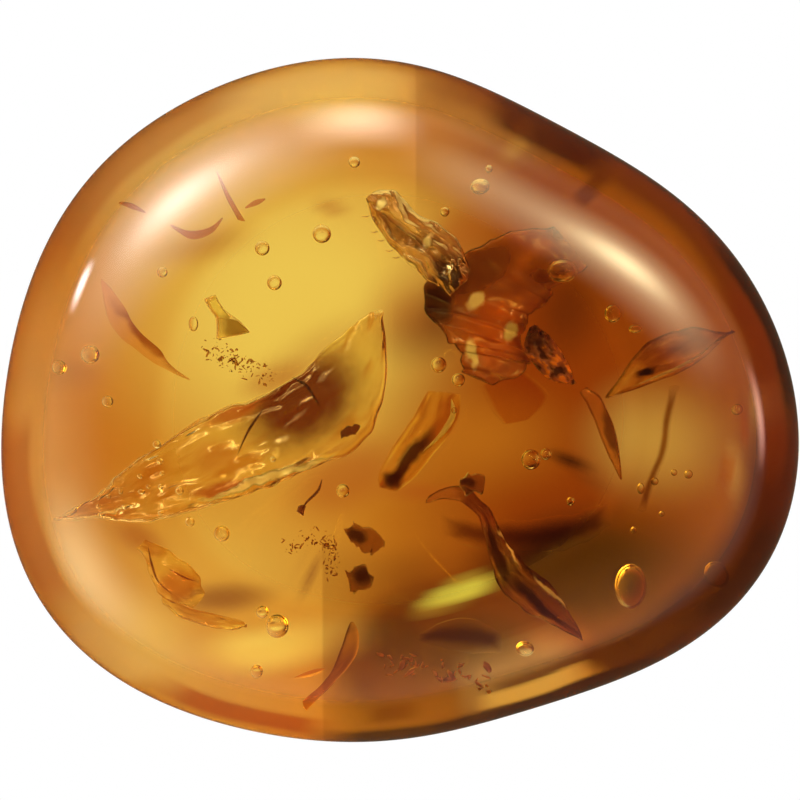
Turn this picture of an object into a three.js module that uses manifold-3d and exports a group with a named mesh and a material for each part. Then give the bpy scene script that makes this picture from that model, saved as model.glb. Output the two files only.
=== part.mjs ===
// A polished lump of amber with plant scraps sealed in it, in millimetres, +Z up.
// It lies on a small flat on its underside. The origin is at the bottom, in the middle of its box.
// The clear solid is parted along the domed skin of the first resin flow, on which the scraps landed.
import * as THREE from 'three';
import { mergeVertices } from 'three/addons/utils/BufferGeometryUtils.js';
import Module from 'manifold-3d';

// The lump
const LENGTH = 48; // along X, its longest side
const HEIGHT = 20;
const WAIST = 9.6; // height of its widest section
const FOOT = 0.27; // the flat underside, as a share of the outline
const CROWN_FULLNESS = 2.05; // 2 is an ellipse, more is fuller at the shoulder
const BASE_FULLNESS = 2;
const CROWN_LEAN = [-0.075, 0.025]; // where the highest point lies, as a share of the length
const LOBES = [
  { count: 1, share: 0.0441, toward: -138.8 },
  { count: 2, share: 0.0869, toward: -4 },
  { count: 3, share: 0.0453, toward: -14.3 },
  { count: 5, share: 0.0036, toward: -12.9 },
  { count: 6, share: 0.0085, toward: 30 },
]; // swellings of the outline seen from above, with the angle each points to
const AROUND_STEPS = 48;
const CROWN_STEPS = 11;
const BASE_STEPS = 8;

// The skin of the first flow
const SKIN_RADIUS = 60;
const SKIN_TOP = [-4, 3, 11.6];
const SKIN_STEPS = [15, 30];
const SKIN_GAP = 0.2; // between the two halves
const POCKET_GAP = 0.3; // round each scrap
// The domed top spreads what lies under it, so scraps lie nearer the middle than they look.
const DRAW_IN = 0.945;

// The scraps. Each lies between a left and a right edge, seen along its length.
// A point of an edge is the place seen from above and the lift over the skin.
const LEAF = 0x9a5a1c;
const BARK = 0x4a2410;
const HUSK = 0x8a4f1a;
const SCRAPS = [
  {
    name: 'large_leaf',
    left: [
      [-20.5, -7.2, 0.4], [-18, -5.7, 0.5], [-16.5, -4.2, 0.4], [-14.1, -2.6, 0.5], [-11.1, -0.7, 0.4],
      [-8.3, 0.3, 0.3], [-6, 1.8, 0.4], [-3.9, 3.9, 0.5], [-1.2, 5.6, 0.6],
    ],
    right: [
      [-20.5, -7.2, 0.4], [-18, -7.1, 0.3], [-15.3, -7.2, 0.1], [-12.6, -6.6, 0.2], [-9.7, -5.7, 0.1],
      [-7.5, -4.9, 0], [-5.4, -3.9, 0.1], [-3, -3.1, 0.2], [-0.9, -0.6, 0.3],
    ],
    halfThickness: 0.3,
    bow: 0.35,
    steps: [12, 8],
    colour: LEAF,
  },
  {
    name: 'husk',
    left: [
      [-1.9, 12.3, 0.6], [-0.5, 12.3, 0.6], [0.5, 11.2, 0.6], [2, 10.4, 0.7], [3.2, 9.4, 0.9],
      [3.9, 8.3, 1.2], [3.9, 7, 1.3],
    ],
    right: [
      [-2.5, 11.9, 0.6], [-2.3, 10.6, 0.5], [-1.4, 9.2, 0.4], [-0.4, 8.2, 0.5], [0.7, 7.5, 0.7],
      [1.8, 6.8, 0.9], [3, 6.2, 1.1],
    ],
    halfThickness: 0.6,
    bow: 0.25,
    steps: [8, 8],
    colour: HUSK,
  },
  {
    name: 'bark_flake',
    left: [
      [11.3, 7.6, 0.2], [9.6, 6.7, 0], [8.7, 5.8, -0.3], [7.7, 4.8, -0.5], [7.3, 3.9, -0.5],
      [7.5, 2.7, -0.5], [7.5, 1.8, -0.5], [8.6, 0.2, -0.6], [7.6, -1.2, -0.5],
    ],
    right: [
      [9.2, 9.9, 0.2], [6.4, 9.6, 0], [3.8, 8.7, -0.4], [1.7, 7, -0.5], [1.2, 5.3, -0.5],
      [2.6, 3.8, -0.5], [3.6, 1.4, -0.3], [5.3, -0.4, -0.6], [6.2, -1.5, -0.5],
    ],
    halfThickness: 0.3,
    bow: 0.4,
    steps: [11, 8],
    colour: 0x7a3a10,
  },
  {
    name: 'seed',
    left: [[8, 4.4, 0.6], [8.7, 3.9, 0.6], [9.5, 2.9, 0.5], [10.1, 1.8, 0.4], [10.5, 0.9, 0.3]],
    right: [[7.7, 4.2, 0.6], [7.4, 3.2, 0.6], [7.9, 2.1, 0.5], [8.9, 1.2, 0.4], [10.3, 0.8, 0.3]],
    halfThickness: 0.75,
    bow: 0,
    steps: [7, 8],
    colour: 0x5a2a0c,
  },
  {
    name: 'grass_blade',
    left: [[11.1, 0.7, 0.3], [11.9, 0.1, 0.3], [12.6, -1.3, 0.3], [13, -2.8, 0.1], [13.2, -4.7, -0.2]],
    right: [[10.7, 0.4, 0.3], [11.1, -0.3, 0.2], [11.7, -1.6, 0], [12.3, -3.1, -0.1], [13.1, -4.7, -0.2]],
    halfThickness: 0.2,
    bow: 0.1,
    steps: [6, 6],
    colour: LEAF,
  },
  {
    name: 'pod',
    left: [
      [12.2, 0.1, 0.1], [13.2, 1.5, 0.2], [14.4, 3, 0.3], [15.8, 3.7, 0.3], [17.3, 4, 0.3],
      [18.5, 3.6, 0.2], [19.4, 3.6, 0.1],
    ],
    right: [
      [12.2, 0, 0.1], [13.7, 0.4, 0.1], [15, 0.9, 0.1], [16.5, 1.4, 0.1], [17.8, 2.2, 0.1],
      [18.8, 3.2, 0.1], [19.4, 3.5, 0.1],
    ],
    halfThickness: 0.5,
    bow: 0.3,
    steps: [8, 8],
    colour: HUSK,
  },
  {
    name: 'thin_stem',
    left: [[16.5, 0.7, 0], [16.1, -1.3, 0.1], [15.8, -3.2, 0.1], [15.1, -4.9, 0], [14.6, -6.5, -0.1]],
    right: [[15.9, 0.7, 0], [15.5, -1.3, 0.1], [15.2, -3.2, 0.1], [14.5, -4.9, 0], [14.1, -6.5, -0.1]],
    halfThickness: 0.25,
    bow: 0,
    steps: [6, 6],
    colour: LEAF,
  },
  {
    name: 'curved_stem',
    left: [
      [3.5, 0.4, 0.5], [3.5, -0.8, 0.6], [2.9, -2, 0.5], [1.9, -3.2, 0.4], [0.9, -4.4, 0.4],
      [-0.4, -5.4, 0.3],
    ],
    right: [
      [1.6, 0.6, 0], [0.9, -0.6, 0], [0.1, -1.8, -0.1], [-0.7, -3, -0.2], [-1.4, -4.2, -0.1],
      [-1.4, -5.1, 0.1],
    ],
    halfThickness: 0.25,
    bow: 0.3,
    steps: [8, 8],
    colour: LEAF,
  },
  {
    name: 'twisted_strip',
    left: [
      [1.6, -5.6, 0.3], [3.6, -5, 0.3], [5.3, -6.3, 0.3], [6.5, -8.4, 0.4], [7.8, -9.7, 0.4],
      [9.3, -10.8, 0.3], [10.2, -12.1, 0.2], [11.0, -13.4, 0.1],
    ],
    right: [
      [1.4, -6, 0.2], [3.2, -5.8, 0.2], [4.6, -6.7, 0.1], [5.2, -8.5, 0], [5.9, -10.6, -0.1],
      [7.2, -11.9, 0], [8.9, -12.7, 0.1], [10.9, -13.5, 0.1],
    ],
    halfThickness: 0.25,
    bow: 0.1,
    steps: [11, 6],
    colour: BARK,
  },
  {
    name: 'sliver',
    left: [
      [-17.7, 7.2, 0.2], [-16.4, 5.6, 0.2], [-15.6, 4.2, 0.2], [-14.3, 3, 0.1], [-13.7, 2.1, 0],
      [-12.5, 1.2, 0],
    ],
    right: [
      [-17.7, 6.9, 0.1], [-17.3, 4.9, 0], [-16.7, 3.8, 0], [-15.5, 2.8, 0], [-14.4, 2, 0],
      [-12.5, 1.1, 0],
    ],
    halfThickness: 0.2,
    bow: 0.1,
    steps: [6, 6],
    colour: LEAF,
  },
  {
    name: 'pale_chip',
    left: [[-11.1, 6.3, 0.2], [-10.5, 5.3, 0.3], [-9.6, 4.7, 0.2], [-9, 4, 0.1]],
    right: [[-11.7, 6, 0.1], [-11.4, 5.4, 0.1], [-11, 4.8, 0.1], [-11, 3.6, 0]],
    halfThickness: 0.3,
    bow: 0.2,
    steps: [5, 6],
    colour: 0xb98a3c,
  },
  {
    name: 'chip_upper',
    left: [[-3.5, -7.6, 0.1], [-2.7, -7.3, 0.2], [-1.7, -7.7, 0.1], [-1.2, -8.3, 0]],
    right: [[-3.3, -8, 0.1], [-2.6, -8.6, 0.1], [-1.9, -9, 0], [-1.3, -8.6, 0]],
    halfThickness: 0.3,
    bow: 0.1,
    steps: [5, 6],
    colour: BARK,
  },
  {
    name: 'chip_lower',
    left: [[-3.5, -10, 0], [-2.5, -9.7, 0.1], [-1.7, -10.3, 0]],
    right: [[-3.4, -10.5, 0], [-2.9, -11.2, 0], [-2, -11, 0]],
    halfThickness: 0.3,
    bow: 0.1,
    steps: [5, 6],
    colour: BARK,
  },
  {
    name: 'chip_middle',
    left: [[3.4, -4.8, 1.1], [4.2, -4.3, 1.1], [5, -4.5, 1]],
    right: [[3.6, -5.1, 1.1], [4.2, -5.5, 1.1], [5.1, -5.4, 1]],
    halfThickness: 0.3,
    bow: 0,
    steps: [5, 6],
    colour: BARK,
  },
  {
    name: 'thread_curl',
    left: [[-4.75, -4.6, 0.1], [-5, -5.3, 0.1], [-5.6, -6.1, 0.1], [-5.9, -6.9, 0.1]],
    right: [[-4.95, -4.6, 0.1], [-5.3, -5.2, 0.1], [-6.1, -5.9, 0.1], [-6.5, -6.5, 0.1]],
    halfThickness: 0.2,
    bow: 0,
    steps: [5, 5],
    colour: LEAF,
  },
  {
    name: 'rootlet',
    left: [[-3, -12.9, 0.1], [-2.6, -13.8, 0.1], [-2.9, -15, 0.1], [-4, -16.2, 0.1], [-5.8, -17.8, 0.2]],
    right: [[-3.1, -12.9, 0.1], [-3.6, -14.2, 0.1], [-4.1, -15.4, 0.1], [-4.9, -16.4, 0.1], [-6, -17.3, 0.2]],
    halfThickness: 0.3,
    bow: 0.1,
    steps: [6, 6],
    colour: LEAF,
  },
  {
    name: 'rootlet_branch',
    left: [[-4.6, -15.7, 0.1], [-5.6, -16, 0.2], [-6.5, -16.1, 0.1]],
    right: [[-4.6, -15.3, 0.1], [-5.6, -15.6, 0.2], [-6.5, -15.9, 0.1]],
    halfThickness: 0.2,
    bow: 0,
    steps: [5, 5],
    colour: LEAF,
  },
  {
    name: 'leaf_scrap',
    left: [
      [-15.2, -8.1, 0.2], [-12.9, -9, 0.3], [-11.4, -10, 0.3], [-9.9, -11, 0.2], [-9, -12.2, 0.2],
      [-9.2, -12.9, 0.1],
    ],
    right: [
      [-16.3, -8.9, 0.1], [-15.3, -10.3, 0.1], [-14.4, -11.6, 0], [-13, -12.9, 0], [-11, -13.4, 0],
      [-9.4, -13.3, 0.1],
    ],
    halfThickness: 0.28,
    bow: 0.3,
    steps: [8, 8],
    colour: LEAF,
  },
  {
    name: 'needle',
    left: [[-10.9, 13.4, 0.1], [-10.1, 11.9, 0.1], [-9.2, 10.4, 0]],
    right: [[-11, 13.4, 0.1], [-10.5, 11.9, 0.1], [-9.7, 10.5, 0]],
    halfThickness: 0.2,
    bow: 0,
    steps: [5, 5],
    colour: LEAF,
  },
  {
    name: 'fleck_left',
    left: [[-15.1, 11, 0.1], [-15.9, 11.5, 0.1], [-16.7, 11.6, 0.1]],
    right: [[-15.1, 10.9, 0.1], [-16, 11.2, 0.1], [-16.7, 11.5, 0.1]],
    halfThickness: 0.12,
    bow: 0,
    steps: [4, 4],
    colour: LEAF,
  },
  {
    name: 'fleck_curved',
    left: [[-10.6, 10.7, 0.1], [-11.4, 10.1, 0.1], [-12.6, 9.9, 0.1], [-13.7, 10.3, 0.1]],
    right: [[-10.6, 10.6, 0.1], [-11.2, 9.8, 0.1], [-12.4, 9.4, 0.1], [-13.6, 10.1, 0.1]],
    halfThickness: 0.12,
    bow: 0,
    steps: [5, 4],
    colour: LEAF,
  },
  {
    name: 'fleck_right',
    left: [[-8.1, 11.8, 0.1], [-8.7, 11.7, 0.1], [-9.3, 11.3, 0.1]],
    right: [[-8.1, 11.7, 0.1], [-8.6, 11.4, 0.1], [-9.3, 11.2, 0.1]],
    halfThickness: 0.12,
    bow: 0,
    steps: [4, 4],
    colour: LEAF,
  },
  {
    name: 'bark_strip',
    left: [[2.2, -6.4, -1.6], [6, -6.8, -2], [9.8, -6.6, -1.4], [12.4, -6, -0.2]],
    right: [[2.3, -7.9, -1.6], [6, -8.6, -2], [10.2, -8.4, -1.4], [12.6, -7.2, -0.2]],
    halfThickness: 0.3,
    bow: 0.1,
    steps: [8, 6],
    colour: BARK,
  },
  {
    name: 'bark_scrap',
    left: [[0.8, -13.6, 0], [3.5, -12.6, 0.1], [6, -13.3, 0]],
    right: [[0.8, -13.9, 0], [3.5, -14.5, 0.1], [6, -14.4, 0]],
    halfThickness: 0.3,
    bow: 0,
    steps: [6, 6],
    colour: BARK,
  },
  {
    name: 'crumbs_upper',
    left: [[-11.4, 4.2, 0.1], [-9.8, 3.2, 0.2], [-8.6, 2.8, 0.2], [-7.6, 2, 0.2]],
    right: [[-12, 2.7, 0.1], [-10.6, 1.6, 0.2], [-9.4, 1.2, 0.2], [-8.3, 0.9, 0.2]],
    halfThickness: 0.35,
    bow: 0,
    steps: [5, 5],
    colour: BARK,
  },
  {
    name: 'crumbs_lower',
    left: [[-7.5, -8.5, 0.1], [-5.5, -7.4, 0.1], [-4, -8.1, 0], [-3.9, -10.8, 0.1]],
    right: [[-7.3, -9.4, 0.1], [-5.7, -8.7, 0.1], [-5, -9, 0], [-4.9, -10.8, 0.1]],
    halfThickness: 0.35,
    bow: 0,
    steps: [6, 6],
    colour: BARK,
  },
  {
    name: 'crumbs_bottom',
    left: [[-1.4, -14.4, 0.1], [1.9, -14.9, 0.1], [5.6, -15.5, 0]],
    right: [[-1.6, -15.8, 0.1], [1.7, -16.5, 0.1], [5.4, -17.1, 0]],
    halfThickness: 0.4,
    bow: 0,
    steps: [6, 6],
    colour: BARK,
  },
];

// The large air bubbles, which lie across the skin: place seen from above, then radius along X and Y
const BUBBLES = [
  [-4.8, 9.75, 0.52, 0.52],
  [-18.3, 2.6, 0.54, 0.54],
  [-20.1, 1.8, 0.42, 0.42],
  [-10.8, -7.8, 0.45, 0.45],
  [-7.5, -13.1, 0.66, 0.66],
  [2.2, 2.1, 0.45, 0.45],
  [12.6, 4.9, 0.5, 0.5],
  [7.8, -3.5, 0.57, 0.57],
  [13.7, -10.5, 0.9, 1.15],
  [18.3, -9.6, 0.6, 0.6],
];
const BUBBLE_STEPS = [6, 4];

const wasm = await Module();
wasm.setup();

// Height of the skin over a place in plan.
function skinHeight(x, y) {
  const reach = Math.hypot(x - SKIN_TOP[0], y - SKIN_TOP[1]);
  return SKIN_TOP[2] - SKIN_RADIUS + Math.sqrt(SKIN_RADIUS ** 2 - reach ** 2);
}

// A place seen from above, moved to where it truly lies on the skin.
function place(x, y, lift) {
  const inX = x * DRAW_IN;
  const inY = y * DRAW_IN;
  return new THREE.Vector3(inX, inY, skinHeight(inX, inY) + lift);
}

// A closed ball of rings between two poles, with each point moved to pointAt(t, turn).
function warpedBall(rings, around, pointAt) {
  const ball = new THREE.SphereGeometry(1, around, rings);
  ball.deleteAttribute('normal');
  ball.deleteAttribute('uv');
  const closed = mergeVertices(ball);
  const points = closed.attributes.position;
  for (let i = 0; i < points.count; i++) {
    const t = Math.acos(THREE.MathUtils.clamp(points.getY(i), -1, 1)) / Math.PI;
    const turn = Math.atan2(points.getZ(i), points.getX(i));
    const moved = pointAt(t, turn);
    points.setXYZ(i, moved.x, moved.y, moved.z);
  }
  return closed;
}

function outline(angle) {
  let reach = 1;
  for (const { count, share, toward } of LOBES) {
    reach += share * Math.cos(count * (angle - THREE.MathUtils.degToRad(toward)));
  }
  return reach;
}

// The lump: a domed crown from t = 0 to the waist, then the base down to the rim of the flat and its middle.
function lumpGeometry() {
  const rings = CROWN_STEPS + BASE_STEPS + 1;
  const waistAt = CROWN_STEPS / rings;
  const rimAt = (rings - 1) / rings;
  const lump = warpedBall(rings, AROUND_STEPS, (t, turn) => {
    const angle = -turn;
    let reach = 0;
    let height = 0;
    if (t <= waistAt) {
      const bend = (t / waistAt) * Math.PI / 2;
      reach = Math.sin(bend) ** (2 / CROWN_FULLNESS);
      height = WAIST + (HEIGHT - WAIST) * Math.max(Math.cos(bend), 0) ** (2 / CROWN_FULLNESS);
    } else if (t < rimAt + 1e-4) {
      const bend = Math.min((t - waistAt) / (rimAt - waistAt), 1) * Math.PI / 2;
      reach = FOOT + (1 - FOOT) * Math.max(Math.cos(bend), 0) ** (2 / BASE_FULLNESS);
      height = WAIST - WAIST * Math.sin(bend) ** (2 / BASE_FULLNESS);
    }
    const lean = Math.max(height - WAIST, 0) / (HEIGHT - WAIST) * (1 - reach);
    const radius = reach * outline(angle);
    return new THREE.Vector3(
      radius * Math.cos(angle) + lean * CROWN_LEAN[0] * 2,
      radius * Math.sin(angle) + lean * CROWN_LEAN[1] * 2,
      height,
    );
  });
  lump.computeBoundingBox();
  const box = lump.boundingBox;
  const scale = LENGTH / (box.max.x - box.min.x);
  lump.translate(-(box.min.x + box.max.x) / 2, -(box.min.y + box.max.y) / 2, 0);
  lump.scale(scale, scale, 1);
  return lump;
}

// A scrap: rings from edge to edge along its length, each a flat ellipse bowed up in its middle.
// Grow widens it all round.
function scrapGeometry(scrap, grow) {
  const left = new THREE.CatmullRomCurve3(scrap.left.map((point) => place(...point)));
  const right = new THREE.CatmullRomCurve3(scrap.right.map((point) => place(...point)));
  return warpedBall(scrap.steps[0], scrap.steps[1], (t, turn) => {
    const leftPoint = left.getPoint(t);
    const rightPoint = right.getPoint(t);
    const middle = leftPoint.clone().add(rightPoint).multiplyScalar(0.5);
    const ahead = left.getTangent(t).add(right.getTangent(t)).normalize();
    if (t < 1e-4) return middle.addScaledVector(ahead, -grow);
    if (t > 1 - 1e-4) return middle.addScaledVector(ahead, grow);
    const halfWidth = leftPoint.distanceTo(rightPoint) / 2;
    const side = leftPoint.sub(rightPoint).normalize();
    const up = ahead.cross(side).normalize();
    const across = Math.cos(turn);
    const bow = scrap.bow * (1 - across ** 2);
    middle.addScaledVector(side, across * (halfWidth + grow));
    middle.addScaledVector(up, Math.sin(turn) * (scrap.halfThickness + grow) + bow);
    return middle;
  });
}

function bubbleGeometry([x, y, radiusX, radiusY]) {
  const bubble = new THREE.SphereGeometry(1, ...BUBBLE_STEPS);
  bubble.deleteAttribute('normal');
  bubble.deleteAttribute('uv');
  const closed = mergeVertices(bubble);
  const middle = place(x, y, 0);
  closed.scale(radiusX, radiusY, radiusX);
  closed.translate(middle.x, middle.y, middle.z);
  return closed;
}

function skinGeometry(radius) {
  const skin = new THREE.SphereGeometry(radius, ...SKIN_STEPS);
  skin.deleteAttribute('normal');
  skin.deleteAttribute('uv');
  const closed = mergeVertices(skin);
  closed.rotateX(Math.PI / 2);
  closed.translate(SKIN_TOP[0], SKIN_TOP[1], SKIN_TOP[2] - SKIN_RADIUS);
  return closed;
}

function solidOf(geometry) {
  return new wasm.Manifold(new wasm.Mesh({
    numProp: 3,
    vertProperties: geometry.attributes.position.array,
    triVerts: new Uint32Array(geometry.index.array),
  }));
}

function geometryOf(solid) {
  const mesh = solid.getMesh();
  const geometry = new THREE.BufferGeometry();
  geometry.setAttribute('position', new THREE.BufferAttribute(mesh.vertProperties, 3));
  geometry.setIndex(new THREE.BufferAttribute(mesh.triVerts, 1));
  return geometry;
}

const piece = new THREE.Group();

function addPiece(name, geometry, colour, opacity) {
  const material = new THREE.MeshStandardMaterial({
    color: colour,
    roughness: 0.3,
    opacity,
    transparent: opacity < 1,
  });
  const mesh = new THREE.Mesh(geometry, material);
  mesh.name = name;
  piece.add(mesh);
}

let hollowed = solidOf(lumpGeometry());
for (const scrap of SCRAPS) {
  hollowed = hollowed.subtract(solidOf(scrapGeometry(scrap, POCKET_GAP)));
  addPiece(scrap.name, scrapGeometry(scrap, 0), scrap.colour, 1);
}
for (const bubble of BUBBLES) {
  hollowed = hollowed.subtract(solidOf(bubbleGeometry(bubble)));
}
const lower = hollowed.intersect(solidOf(skinGeometry(SKIN_RADIUS - SKIN_GAP / 2)));
const upper = hollowed.subtract(solidOf(skinGeometry(SKIN_RADIUS + SKIN_GAP / 2)));
addPiece('amber_lower', geometryOf(lower), 0xc8731c, 0.5);
addPiece('amber_upper', geometryOf(upper), 0xe0a038, 0.5);

export default piece;
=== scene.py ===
import math
import random

import bmesh
import bpy
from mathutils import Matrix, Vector, noise


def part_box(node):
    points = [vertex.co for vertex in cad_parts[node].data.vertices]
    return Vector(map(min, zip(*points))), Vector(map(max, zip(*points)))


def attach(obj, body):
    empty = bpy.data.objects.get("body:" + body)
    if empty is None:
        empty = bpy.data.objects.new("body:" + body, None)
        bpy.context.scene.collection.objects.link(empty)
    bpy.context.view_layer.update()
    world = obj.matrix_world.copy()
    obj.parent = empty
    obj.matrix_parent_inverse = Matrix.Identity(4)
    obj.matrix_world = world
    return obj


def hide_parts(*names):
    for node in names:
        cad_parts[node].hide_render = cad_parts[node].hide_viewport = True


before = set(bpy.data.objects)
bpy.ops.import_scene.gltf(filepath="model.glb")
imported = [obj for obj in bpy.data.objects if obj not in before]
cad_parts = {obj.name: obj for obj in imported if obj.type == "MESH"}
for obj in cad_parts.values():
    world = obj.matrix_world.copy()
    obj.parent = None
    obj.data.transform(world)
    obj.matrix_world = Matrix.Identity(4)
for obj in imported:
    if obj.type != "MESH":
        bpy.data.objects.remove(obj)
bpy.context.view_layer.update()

# The amber lump: one clear piece of fossil resin, tumbled and polished to a smooth pebble.
# It lies on a small flat on its underside. It was two flows of resin that set as one,
# honey on the left and cognac on the right, so it stands for both halves of the parted solid.
MM = 0.001
WAIST = 9.6
HEIGHT = 20.0
FOOT = 0.27
CROWN_FULLNESS = 2.05
BASE_FULLNESS = 2.0
CROWN_LEAN = (-0.15, 0.05)
LOBES = ((1, 0.0441, -138.8), (2, 0.0869, -4.0), (3, 0.0453, -14.3), (5, 0.0036, -12.9), (6, 0.0085, 30.0))
LUMP_AROUND = 300
LUMP_RINGS = 170


def outline(angle):
    """Reach of the lump's outline towards an angle, as a share of its mean."""
    reach = 1.0
    for count, share, toward in LOBES:
        reach += share * math.cos(count * (angle - math.radians(toward)))
    return reach


def lump_point(t, angle):
    """A point of the lump's skin: t runs from the crown, 0, by the waist, 0.5, to the middle of the foot, 1."""
    if t <= 0.5:
        bend = t * math.pi
        reach = math.sin(bend) ** (2 / CROWN_FULLNESS)
        height = WAIST + (HEIGHT - WAIST) * max(math.cos(bend), 0) ** (2 / CROWN_FULLNESS)
    elif t <= 0.85:
        bend = (t - 0.5) / 0.35 * math.pi / 2
        reach = FOOT + (1 - FOOT) * max(math.cos(bend), 0) ** (2 / BASE_FULLNESS)
        height = WAIST - WAIST * math.sin(bend) ** (2 / BASE_FULLNESS)
    else:
        reach = FOOT * (1 - t) / 0.15
        height = 0.0
    lean = max(height - WAIST, 0) / (HEIGHT - WAIST) * (1 - reach)
    radius = reach * outline(angle)
    x = radius * math.cos(angle) + lean * CROWN_LEAN[0]
    y = radius * math.sin(angle) + lean * CROWN_LEAN[1]
    return Vector((x, y, height))


def fit_to_box(points, low, high):
    """Stretches points so that their box is the box from low to high."""
    for axis in range(3):
        least = min(p[axis] for p in points)
        most = max(p[axis] for p in points)
        stretch = (high[axis] - low[axis]) / (most - least)
        for p in points:
            p[axis] = low[axis] + (p[axis] - least) * stretch


def add_node(tree, kind, settings=None, inputs=None):
    """Adds a node, with its settings, and its inputs given as values or as sockets to link from."""
    node = tree.nodes.new(kind)
    for key, value in (settings or {}).items():
        setattr(node, key, value)
    for key, value in (inputs or {}).items():
        if isinstance(value, bpy.types.NodeSocket):
            tree.links.new(value, node.inputs[key])
        else:
            node.inputs[key].default_value = value
    return node


def linear(hex_colour, alpha=1.0):
    """An sRGB hex colour as linear red, green, blue and alpha."""
    out = []
    for k in (1, 3, 5):
        share = int(hex_colour[k:k + 2], 16) / 255
        out.append(share / 12.92 if share <= 0.04045 else ((share + 0.055) / 1.055) ** 2.4)
    return (*out, alpha)


def join_shape(whole, shape):
    """Adds a closed bmesh to another and frees it."""
    mesh = bpy.data.meshes.new("joined")
    shape.to_mesh(mesh)
    shape.free()
    whole.from_mesh(mesh)
    bpy.data.meshes.remove(mesh)


def new_piece(name, shape):
    """Makes an object of a finished bmesh, smooth shaded, at the origin."""
    mesh = bpy.data.meshes.new(name)
    shape.to_mesh(mesh)
    shape.free()
    for face in mesh.polygons:
        face.use_smooth = True
    piece = bpy.data.objects.new(name, mesh)
    bpy.context.scene.collection.objects.link(piece)
    return piece


def new_material(name):
    """Makes a material with an empty node tree, and returns it with its tree."""
    material = bpy.data.materials.new(name)
    material.use_nodes = True
    material.node_tree.nodes.clear()
    return material, material.node_tree


lump = bmesh.new()
bmesh.ops.create_uvsphere(lump, u_segments=LUMP_AROUND, v_segments=LUMP_RINGS, radius=1.0)
for vert in lump.verts:
    t = math.acos(max(-1.0, min(1.0, vert.co.z))) / math.pi
    angle = math.atan2(vert.co.y, vert.co.x)
    vert.co = lump_point(t, angle)
lower_low, lower_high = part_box("amber_lower")
upper_low, upper_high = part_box("amber_upper")
lump_low = [min(a, b) for a, b in zip(lower_low, upper_low)]
lump_high = [max(a, b) for a, b in zip(lower_high, upper_high)]
fit_to_box([vert.co for vert in lump.verts], lump_low, lump_high)

HONEY = "#fdeca0"
OCHRE = "#d8943a"
COGNAC = "#984408"
UMBER = "#2c0e02"
MAHOGANY = "#6a240c"
# Painted light: the base's flank is paled towards these directions, so that the rim above them looks lit.
SIDE_LIGHT = "#f8dc98"
SIDES_PAINTED_LIT = ((105, 55, 1.0), (205, 55, 0.3), (295, 16, 0.6))
STRAW = "#ecf080"
RUST = "#b8602c"
SMEAR = "#9a6040"
RESIN_TINT = "#f9e327"
RESIN_DEPTH = 75.0
SEEN_WIDER = 1.15
SEAMS = (("upper_seam", 0.95, "#ddd3c8"), ("lower_seam", -4.6, "#cdc2b8"))
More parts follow.
